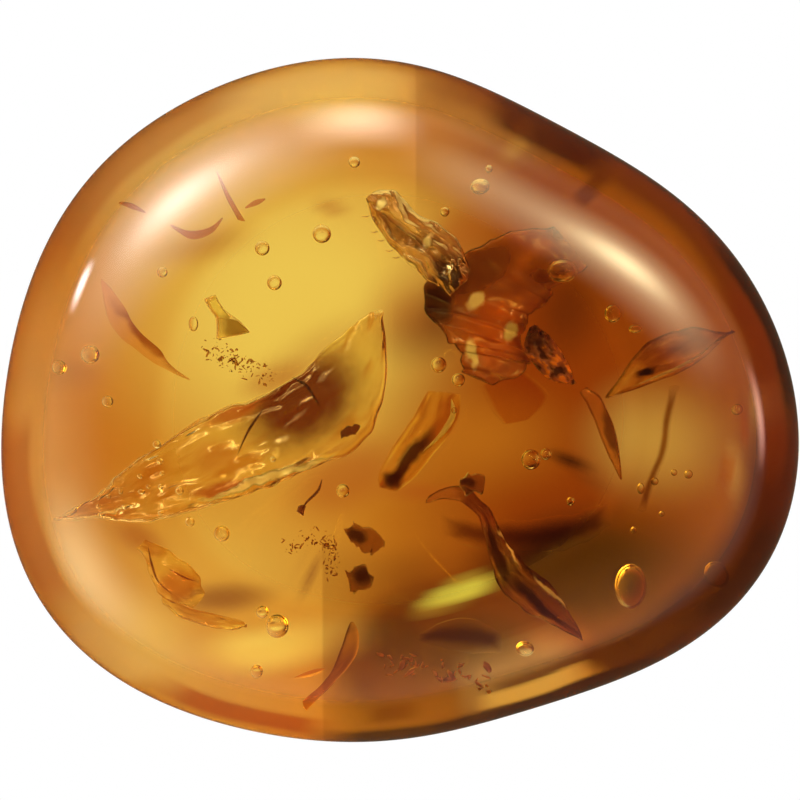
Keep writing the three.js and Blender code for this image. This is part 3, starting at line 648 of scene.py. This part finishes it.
# The seed and the grass blade at its tip: a wrinkled dark seed, and a narrow dry blade.
# The seed's coat is glossy, so its wrinkles glint, and painted highlights on their crests and painted shade in their
# folds add to that.
seed_coat = soaked("seed coat in resin", "#a04c10", (
    ("#4a1c08", (8.1, 3.7), (1.2, 1.1), 0, 0.9),
), clear=0.1, rough=0.25, bend=1.4, shine=0.4, painted_fold_shade="#3a1404", painted_ridge_highlight="#ff9830")
scrap("seed", (
    film(((7.7, 4.2, 0.6), (7.4, 3.2, 0.6), (7.9, 2.1, 0.5), (8.9, 1.2, 0.4), (10.3, 0.8, 0.3)),
         ((8.0, 4.4, 0.6), (8.7, 3.9, 0.6), (9.5, 2.9, 0.5), (10.1, 1.8, 0.4), (10.5, 0.9, 0.3)),
         0.75, 0.0, 0.3, (0.6, 0.35), 0.5, 0.08, (90, 64), 4.0),
), (seed_coat,))
dry_blade = soaked("dry grass in resin", "#f0b868", (
    ("#7a3a10", (12.6, -2.0), (0.5, 2.0), 15, 0.8),
), clear=0.85, bend=1.25, shine=1.0, line="#a8682c")
scrap("grass_blade", (
    film(((10.7, 0.4, 0.3), (11.1, -0.3, 0.2), (11.7, -1.6, 0.0), (12.3, -3.1, -0.1), (13.1, -4.7, -0.2)),
         ((11.1, 0.7, 0.3), (11.9, 0.1, 0.3), (12.6, -1.3, 0.3), (13.0, -2.8, 0.1), (13.2, -4.7, -0.2)),
         0.08, 0.1, 0.08, (2.5, 0.5), 0.08, 0.04, (60, 32), 5.0),
), (dry_blade,))

# The pod and the thin stem that hangs under it: a dry pod with a split, and a soaked stem.
# The stem is nearly as clear as the resin, so only its colour shows.
# Painted shade in the pod's split and folds, and painted highlights on its crests.
pod_shell = soaked("pod shell in resin", "#f8d878", (
    ("#b07840", (17.2, 3.1), (1.8, 0.8), 10, 0.5),
    # Painted shade: the dark split.
    ("#2a1408", (14.5, 1.5), (0.7, 0.3), 30, 0.95),
    ("#b88840", (14.6, 2.7), (1.2, 0.7), 30, 0.4),
), clear=0.9, bend=1.25, shine=1.0, line="#8a5820", painted_fold_shade="#c89848", painted_ridge_highlight="#fff0a0")
# The pale ridge strand is a painted highlight along the pod.
pod_ridge_highlight = soaked("pod ridge highlight in resin", "#fff2a8", clear=0.7, bend=1.4, shine=1.0)
scrap("pod", (
    film(((12.2, 0.1, 0.1), (13.2, 1.5, 0.2), (14.4, 3.0, 0.3), (15.8, 3.7, 0.3), (17.3, 4.0, 0.3),
          (18.5, 3.6, 0.2), (19.4, 3.6, 0.1)),
         ((12.2, 0.0, 0.1), (13.7, 0.4, 0.1), (15.0, 0.9, 0.1), (16.5, 1.4, 0.1), (17.8, 2.2, 0.1),
          (18.8, 3.2, 0.1), (19.4, 3.5, 0.1)),
         0.14, 0.35, 0.2, (2.4, 0.7), 0.14, 0.06, (80, 44), 6.0),
    strand(((18.4, 3.1, 0.5), (17.5, 2.3, 0.6), (16.2, 1.6, 0.6), (14.9, 1.1, 0.5), (13.6, 0.6, 0.3)), 0.14, (30, 10), 1),
), (pod_shell, pod_ridge_highlight))
soaked_stem = soaked("soaked stem in resin", "#a87838", clear=1.0, rough=0.05, bend=1.02, soft=0.9)
scrap("thin_stem", (
    film(((15.9, 0.7, 0.0), (15.5, -1.3, 0.1), (15.2, -3.2, 0.1), (14.5, -4.9, 0.0), (14.1, -6.5, -0.1)),
         ((16.5, 0.7, 0.0), (16.1, -1.3, 0.1), (15.8, -3.2, 0.1), (15.1, -4.9, 0.0), (14.6, -6.5, -0.1)),
         0.12, 0.0, 0.05, (2.0, 0.6), 0.12, 0.04, (50, 24), 7.0),
), (soaked_stem,))

# The curved stem and the twisted strip: ribbons of stem skin and of bark, twisted as they dried.
# Each is clear on its turned-up side, with painted shade on the other and painted highlights on its crests and edges.
# Painted shade: the two dark bands where the stem turns over, and shade in its folds; painted highlights on its
# crests.
stem_skin = soaked("stem skin in resin", "#ffe890", (
    ("#4a1c06", (0.5, -3.4), (3.0, 0.55), 49, 0.9),
    ("#4a1c06", (-0.6, -4.6), (0.9, 0.8), 0, 0.9),
), clear=0.95, bend=1.18, shine=1.0, painted_fold_shade="#d89030", painted_ridge_highlight="#fff8c0")
# The pale rib is painted light: the lit side of the ribbon.
painted_lit_rib = soaked("painted lit stem rib in resin", "#fff0a0", clear=0.5, bend=1.3, shine=1.0)
scrap("curved_stem", (
    film(((1.6, 0.6, 0.0), (0.9, -0.6, 0.0), (0.1, -1.8, -0.1), (-0.7, -3.0, -0.2), (-1.4, -4.2, -0.1),
          (-1.4, -5.1, 0.1)),
         ((3.5, 0.4, 0.5), (3.5, -0.8, 0.6), (2.9, -2.0, 0.5), (1.9, -3.2, 0.4), (0.9, -4.4, 0.4),
          (-0.4, -5.4, 0.3)),
         0.08, 0.3, 0.12, (3.5, 0.7), 0.15, 0.05, (70, 44), 8.0),
    strand(((3.0, 0.1, 0.6), (3.1, -0.9, 0.7), (2.4, -2.0, 0.7), (1.3, -3.0, 0.6)), 0.26, (30, 10), 1),
), (stem_skin, painted_lit_rib))
# Painted shade: the two dark bands where the strip turns over, and shade in its folds; painted light: its pale left
# end, highlights on its crests and two glints along its edge.
bark_ribbon = soaked("bark ribbon in resin", "#e0a050", (
    ("#5a2a0c", (5.8, -8.9), (2.6, 0.4), -70, 0.8),
    ("#5a2a0c", (8.0, -11.4), (2.6, 0.4), -38, 0.8),
    ("#f4d0a0", (2.4, -5.6), (1.7, 0.9), 0, 0.9),
), clear=0.85, bend=1.2, shine=1.0, line="#8a5020", line_width=0.12, painted_fold_shade="#9a5820", painted_ridge_highlight="#ffdc90",
   glints=(((6.5, -8.6), (1.5, 0.16), -62), ((9.1, -11.0), (1.6, 0.16), -40)))
scrap("twisted_strip", (
    film(((1.4, -6.0, 0.2), (3.2, -5.8, 0.2), (4.6, -6.7, 0.1), (5.2, -8.5, 0.0), (5.9, -10.6, -0.1),
          (7.2, -11.9, 0.0), (8.9, -12.7, 0.1), (10.9, -13.5, 0.1)),
         ((1.6, -5.6, 0.3), (3.6, -5.0, 0.3), (5.3, -6.3, 0.3), (6.5, -8.4, 0.4), (7.8, -9.7, 0.4),
          (9.3, -10.8, 0.3), (10.2, -12.1, 0.2), (11.0, -13.4, 0.1)),
         0.1, 0.1, 0.35, (5.0, 0.5), 0.13, 0.1, (110, 56), 9.0),
), (bark_ribbon,))

# The small leaf scraps: a thorn-like sliver, a pale wedge, a crumpled scrap, a needle and a forked rootlet.
# They are thin films, as clear as the leaf.
sliver_film = soaked("rusty film in resin", "#f8d8b0", (
    ("#b06030", (-14.8, 3.5), (3.6, 0.6), -45, 0.8),
), clear=0.95, bend=1.15, shine=1.0)
scrap("sliver", (
    film(((-17.7, 7.2, 0.2), (-16.4, 5.6, 0.2), (-15.6, 4.2, 0.2), (-14.3, 3.0, 0.1), (-13.7, 2.1, 0.0),
          (-12.5, 1.2, 0.0)),
         ((-17.7, 6.9, 0.1), (-17.3, 4.9, 0.0), (-16.7, 3.8, 0.0), (-15.5, 2.8, 0.0), (-14.4, 2.0, 0.0),
          (-12.5, 1.1, 0.0)),
         0.05, 0.1, 0.08, (3.0, 0.8), 0.06, 0.04, (60, 32), 10.0),
), (sliver_film,))
# Painted shade: the darker brown right side of the wedge.
wedge_film = soaked("pale wedge in resin", "#fff4b8", (
    ("#a07830", (-9.9, 4.5), (1.3, 1.2), 0, 0.85),
), clear=0.85, bend=1.25, shine=1.0)
scrap("pale_chip", (
    film(((-11.7, 6.0, 0.1), (-11.4, 5.4, 0.1), (-11.0, 4.8, 0.1), (-11.0, 3.6, 0.0)),
         ((-11.1, 6.3, 0.2), (-10.5, 5.3, 0.3), (-9.6, 4.7, 0.2), (-9.0, 4.0, 0.1)),
         0.22, 0.2, 0.12, (1.2, 0.8), 0.15, 0.06, (36, 28), 11.0),
), (wedge_film,))
# Painted shade lies in the film's folds.
crumpled_film = soaked("crumpled film in resin", "#fff2b0", (
    ("#e0a048", (-13.3, -10.7), (1.5, 1.1), 0, 0.8),
    ("#d89850", (-12.4, -12.5), (2.4, 0.5), -22, 0.5),
), clear=0.97, bend=1.25, shine=1.0, line="#c89048", line_width=0.08, painted_fold_shade="#e8c070")
brown_line = soaked("brown crease in resin", "#a87038", clear=0.95, bend=1.15)
scrap("leaf_scrap", (
    film(((-15.2, -8.1, 0.2), (-13.8, -8.8, 0.4), (-12.7, -9.7, 0.4), (-12.0, -10.8, 0.3), (-11.9, -11.6, 0.2)),
         ((-15.7, -8.6, 0.1), (-15.0, -9.8, 0.1), (-14.6, -10.9, 0.1), (-13.9, -11.6, 0.1), (-12.6, -12.1, 0.1)),
         0.07, 0.3, 0.35, (1.6, 0.8), 0.1, 0.25, (90, 48), 12.0),
    film(((-14.3, -11.4, 0.1), (-12.9, -12.0, 0.2), (-11.4, -12.4, 0.2), (-10.2, -12.7, 0.2), (-9.3, -13.1, 0.1)),
         ((-14.2, -11.7, 0.1), (-13.0, -12.6, 0.0), (-11.4, -13.1, 0.0), (-10.3, -13.3, 0.0), (-9.35, -13.25, 0.1)),
         0.06, 0.2, 0.2, (2.4, 0.6), 0.09, 0.15, (70, 40), 12.5),
    strand(((-15.1, -8.6, 0.6), (-14.9, -9.6, 0.6), (-14.5, -10.6, 0.5), (-13.6, -11.4, 0.4)), 0.09, (30, 8), 1),
    strand(((-13.9, -9.9, 0.7), (-13.0, -10.4, 0.7), (-12.3, -10.6, 0.6)), 0.07, (20, 8), 1),
), (crumpled_film, brown_line))
needle_stuff = soaked("needle in resin", "#d8a070", clear=0.95, bend=1.1)
scrap("needle", (
    film(((-11.0, 13.4, 0.1), (-10.45, 11.9, 0.1), (-9.7, 10.5, 0.0)),
         ((-10.95, 13.4, 0.1), (-10.15, 11.9, 0.1), (-9.25, 10.4, 0.0)),
         0.12, 0.0, 0.02, (2.0, 0.5), 0.1, 0.02, (40, 20), 13.0),
), (needle_stuff,))
for node, edge_a, edge_b, seed in (
    ("fleck_curved", ((-13.7, 10.3, 0.1), (-12.6, 9.9, 0.1), (-11.4, 10.1, 0.1), (-10.6, 10.7, 0.1)),
     ((-13.6, 10.1, 0.1), (-12.4, 9.4, 0.1), (-11.2, 9.8, 0.1), (-10.6, 10.6, 0.1)), 13.3),
    ("fleck_left", ((-16.7, 11.6, 0.1), (-15.9, 11.5, 0.1), (-15.1, 11.0, 0.1)),
     ((-16.7, 11.5, 0.1), (-16.0, 11.2, 0.1), (-15.1, 10.9, 0.1)), 13.5),
    ("fleck_right", ((-9.3, 11.3, 0.1), (-8.7, 11.7, 0.1), (-8.1, 11.8, 0.1)),
     ((-9.3, 11.2, 0.1), (-8.6, 11.4, 0.1), (-8.1, 11.7, 0.1)), 13.7),
):
    scrap(node, (film(edge_a, edge_b, 0.06, 0.0, 0.02, (2.0, 0.5), 0.06, 0.02, (30, 16), seed),), (needle_stuff,))
root_stuff = soaked("rootlet in resin", "#f0c484", (
    ("#c08038", (-5.2, -16.8), (1.8, 0.8), 35, 0.6),
), clear=1.0, bend=1.1, shine=1.0)
scrap("rootlet", (
    film(((-3.15, -12.9, 0.1), (-3.6, -14.2, 0.1), (-4.1, -15.4, 0.1), (-4.9, -16.4, 0.1), (-6.0, -17.3, 0.2)),
         ((-2.95, -12.9, 0.1), (-2.6, -13.8, 0.1), (-2.9, -15.0, 0.1), (-4.0, -16.2, 0.1), (-5.8, -17.8, 0.2)),
         0.2, 0.1, 0.1, (2.0, 0.5), 0.12, 0.06, (60, 32), 14.0),
), (root_stuff,))
scrap("rootlet_branch", (
    strand(((-4.6, -15.5, 0.1), (-5.6, -15.8, 0.2), (-6.5, -16.0, 0.1)), 0.2, (24, 14)),
), (root_stuff,))

# The bark chips: dark torn crumbs of bark, soaked and brown.
dark_bark = soaked("bark chip in resin", "#b88848", (
    ("#4a2410", (-2.8, -7.9), (0.8, 0.5), 0, 0.9),
    ("#4a2410", (-2.4, -10.3), (0.9, 0.8), 0, 0.9),
    ("#5a2c14", (4.0, -4.8), (0.7, 0.4), 0, 0.9),
), clear=0.9, rough=0.1, bend=1.12, soft=0.12)
for node, edge_a, edge_b, seed in (
    ("chip_upper", ((-3.5, -7.6, 0.1), (-2.7, -7.3, 0.2), (-1.7, -7.7, 0.1), (-1.2, -8.3, 0.0)),
     ((-3.3, -8.0, 0.1), (-2.6, -8.6, 0.1), (-1.9, -9.0, 0.0), (-1.3, -8.6, 0.0)), 15.0),
    ("chip_lower", ((-3.5, -10.0, 0.0), (-2.5, -9.7, 0.1), (-1.7, -10.3, 0.0)),
     ((-3.4, -10.5, 0.0), (-2.9, -11.2, 0.0), (-2.0, -11.0, 0.0)), 16.0),
    ("chip_middle", ((3.4, -4.8, 1.1), (4.2, -4.3, 1.1), (5.0, -4.5, 1.0)),
     ((3.6, -5.1, 1.1), (4.2, -5.5, 1.1), (5.1, -5.4, 1.0)), 17.0),
):
    scrap(node, (
        film(edge_a, edge_b, 0.22, 0.1, 0.12, (0.9, 0.6), 0.14, 0.3, (60, 36), seed, jag=0.4),), (dark_bark,))

# The deeper bark pieces: soaked soft, so they show as dark smears without a clear edge.
soft_bark = soaked("soaked bark in resin", "#a08468", clear=1.0, bend=1.01, soft=0.95)
dark_soft_bark = soaked("dark soaked bark in resin", "#a88468", clear=1.0, bend=1.01, soft=0.95)
scrap("bark_strip", (
    film(((2.2, -6.4, -1.6), (6.0, -6.8, -2.0), (9.8, -6.6, -1.4), (12.4, -6.0, -0.2)),
         ((2.3, -7.9, -1.6), (6.0, -8.6, -2.0), (10.2, -8.4, -1.4), (12.6, -7.2, -0.2)),
         0.2, 0.1, 0.15, (4.0, 1.2), 0.1, 0.15, (60, 36), 18.0),
), (soft_bark,))
scrap("bark_scrap", (
    film(((0.8, -13.6, 0.0), (3.5, -12.6, 0.1), (6.0, -13.3, 0.0)),
         ((0.8, -13.9, 0.0), (3.5, -14.5, 0.1), (6.0, -14.4, 0.0)),
         0.2, 0.0, 0.12, (3.0, 1.0), 0.12, 0.12, (50, 36), 19.0),
), (dark_soft_bark,))

# The crumbs: three clusters of fine bark crumbs, some no bigger than dust, strewn on the skin.
# The lowest cluster is of small clear flakes that glint.
CRUMB_SEED = 7


def crumbs(way, reach, count, sizes, dice):
    """Strewn crumbs round a row of plan x, y and lift in mm: flattened lumps, small ones far more often."""
    points = [on_skin(*point) for point in way]
    heap = bmesh.new()
    for _ in range(count):
        crumb = bmesh.new()
        bmesh.ops.create_icosphere(crumb, subdivisions=1, radius=1.0)
        size = sizes[0] + (sizes[1] - sizes[0]) * dice.random() ** 2.5
        middle = curve_point(points, dice.uniform(0.06, 0.94))
        stray = (dice.triangular(-reach, reach), dice.triangular(-reach, reach), dice.uniform(-0.15, 0.15))
        middle += Vector(stray)
        stretch = Vector((dice.uniform(0.7, 2.4), dice.uniform(0.4, 0.9), dice.uniform(0.3, 0.7))) * size
        spin = dice.uniform(0, math.pi)
        for vert in crumb.verts:
            knob = vert.co * (1 + 0.5 * noise.noise(vert.co * 1.5 + middle * 9))
            knob = Vector((knob.x * stretch.x, knob.y * stretch.y, knob.z * stretch.z))
            x = knob.x * math.cos(spin) - knob.y * math.sin(spin)
            y = knob.x * math.sin(spin) + knob.y * math.cos(spin)
            vert.co = (middle + Vector((x, y, knob.z))) * MM
        join_shape(heap, crumb)
    return heap


dice = random.Random(CRUMB_SEED)
crumb_bark = soaked("bark crumb in resin", "#c08840", clear=0.9, rough=0.2, bend=1.14)
scrap("crumbs_upper", (
    crumbs(((-11.6, 3.4, 0.1), (-10.2, 2.4, 0.2), (-9.0, 2.0, 0.2), (-8.0, 1.4, 0.2)), 0.8, 140, (0.03, 0.12), dice),
), (crumb_bark,))
scrap("crumbs_lower", (
    crumbs(((-7.3, -8.9, 0.1), (-5.6, -8.0, 0.1), (-4.5, -8.4, 0.0), (-4.2, -9.4, 0.1), (-4.0, -10.4, 0.1)),
           0.65, 130, (0.03, 0.12), dice),
), (crumb_bark,))
crumb_flake = soaked("pale crumb in resin", "#e89858", clear=0.35, bend=1.45, shine=1.0)
scrap("crumbs_bottom", (
    crumbs(((-1.4, -15.0, 0.1), (1.8, -15.5, 0.1), (5.4, -16.0, 0.0)), 0.8, 46, (0.1, 0.26), dice),
), (crumb_flake,))

# The studio: a white light table under the pebble and softboxes round it, which aren't part of it.
# The table glows evenly, so the clear resin shows its own colour and casts no dark shadow.
FLOOR_DROP = 0.03
floor_shape = bmesh.new()
bmesh.ops.create_grid(floor_shape, x_segments=1, y_segments=1, size=1.5)
bmesh.ops.translate(floor_shape, vec=(0, 0, -FLOOR_DROP * MM), verts=floor_shape.verts)
floor = new_piece("light_table", floor_shape)
glass_top, tree = new_material("opal light table")
glow = add_node(tree, "ShaderNodeEmission", None, {"Color": (1, 1, 1, 1), "Strength": 1.0})
add_node(tree, "ShaderNodeOutputMaterial", None, {"Surface": glow.outputs[0]})
floor.data.materials.append(glass_top)
floor.visible_glossy = False


def softbox(name, direction, elevation, distance, size, strength, core, colour, turn=0.0):
    """Hangs a softbox towards a compass direction, aimed at the pebble. It fades to its edges round a core."""
    lamp = bpy.data.lights.new(name, "AREA")
    lamp.shape = "RECTANGLE"
    lamp.size = size[0]
    lamp.size_y = size[1]
    lamp.energy = 1.0
    lamp.color = linear(colour)[:3]
    lamp.use_nodes = True
    nodes = lamp.node_tree
    nodes.nodes.clear()
    spot = add_node(nodes, "ShaderNodeNewGeometry")
    sides = add_node(nodes, "ShaderNodeSeparateXYZ", inputs={0: spot.outputs["Parametric"]})
    fade = None
    for side in ("X", "Y"):
        off = add_node(nodes, "ShaderNodeMath", {"operation": "SUBTRACT"}, {0: sides.outputs[side], 1: 0.5})
        reach = add_node(nodes, "ShaderNodeMath", {"operation": "ABSOLUTE"}, {0: off.outputs[0]})
        edge = add_node(nodes, "ShaderNodeMapRange", {"interpolation_type": "SMOOTHSTEP"}, {
            "Value": reach.outputs[0], "From Min": 0.5, "From Max": 0.0})
        if fade is None:
            fade = edge
        else:
            fade = add_node(nodes, "ShaderNodeMath", {"operation": "MULTIPLY"}, {
                0: fade.outputs[0], 1: edge.outputs[0]})
    hot = add_node(nodes, "ShaderNodeMath", {"operation": "POWER"}, {0: fade.outputs[0], 1: 6.0})
    middle = add_node(nodes, "ShaderNodeMath", {"operation": "MULTIPLY"}, {0: hot.outputs[0], 1: core})
    power = add_node(nodes, "ShaderNodeMath", {"operation": "MULTIPLY_ADD"}, {
        0: fade.outputs[0], 1: strength, 2: middle.outputs[0]})
    shine = add_node(nodes, "ShaderNodeEmission", None, {"Strength": power.outputs[0]})
    add_node(nodes, "ShaderNodeOutputLight", None, {"Surface": shine.outputs[0]})
    lamp_object = bpy.data.objects.new(name, lamp)
    bpy.context.scene.collection.objects.link(lamp_object)
    flat = math.radians(direction)
    up = math.radians(elevation)
    away = Vector((math.cos(up) * math.cos(flat), math.cos(up) * math.sin(flat), math.sin(up)))
    lamp_object.location = away * distance + Vector((0, 0, 0.01))
    aim = away.to_track_quat("Z", "Y")
    lamp_object.rotation_euler = aim.to_euler()
    lamp_object.rotation_euler.rotate_axis("Z", math.radians(turn))
    return lamp_object


softbox("key softbox", 131, 25, 0.5, (0.85, 0.44), 6.5, 14.0, "#fff8f0")
softbox("right softbox", 44, 32, 0.5, (0.62, 0.30), 4.0, 9.0, "#ffefb8")
softbox("top strip", 89, 18, 0.5, (0.30, 0.28), 2.9, 0.0, "#fff0d8")
softbox("low left strip", 158, 9, 0.5, (0.10, 0.06), 0.45, 0.0, "#ffffff")
softbox("low right strip", 4, 7, 0.5, (0.24, 0.08), 0.5, 0.0, "#ffc0b0")
softbox("lower left fill", 211, 15, 0.5, (0.5, 0.36), 3.2, 0.0, "#f8f0b8")
for direction in (272, 355):
    glow_through = softbox("low glow", direction, 3, 0.5, (0.5, 0.12), 11.0, 0.0, "#ffffff")
    glow_through.visible_glossy = False

world = bpy.data.worlds.new("soft studio")
world.use_nodes = True
sky = world.node_tree
ways = add_node(sky, "ShaderNodeTexCoord")
heights = add_node(sky, "ShaderNodeSeparateXYZ", None, {0: ways.outputs["Generated"]})
above = add_node(sky, "ShaderNodeValToRGB", None, {0: heights.outputs["Z"]})
steps = above.color_ramp.elements
steps[0].color = linear("#615340")
steps[1].position = 0.75
steps[1].color = linear("#303030")
steps.new(0.18).color = linear("#acacac")
sky.links.new(above.outputs[0], sky.nodes["Background"].inputs["Color"])
bpy.context.scene.world = world

# The camera looks straight down on the pebble through a long lens.
CAMERA_HEIGHT = 0.62
FRAME_WIDTH = 48.15
lens = bpy.data.cameras.new("camera")
lens.sensor_width = 36.0
lens.lens = 36.0 * (CAMERA_HEIGHT - WAIST * MM) / (FRAME_WIDTH * MM)
lens.clip_start = 0.01
camera = bpy.data.objects.new("camera", lens)
camera.location = (0, 0, CAMERA_HEIGHT)
bpy.context.scene.collection.objects.link(camera)
bpy.context.scene.camera = camera
bpy.context.scene.view_settings.view_transform = "Standard"
bpy.context.scene.cycles.max_bounces = 7
bpy.context.scene.cycles.transmission_bounces = 7
bpy.context.scene.cycles.glossy_bounces = 4
bpy.context.scene.cycles.diffuse_bounces = 1
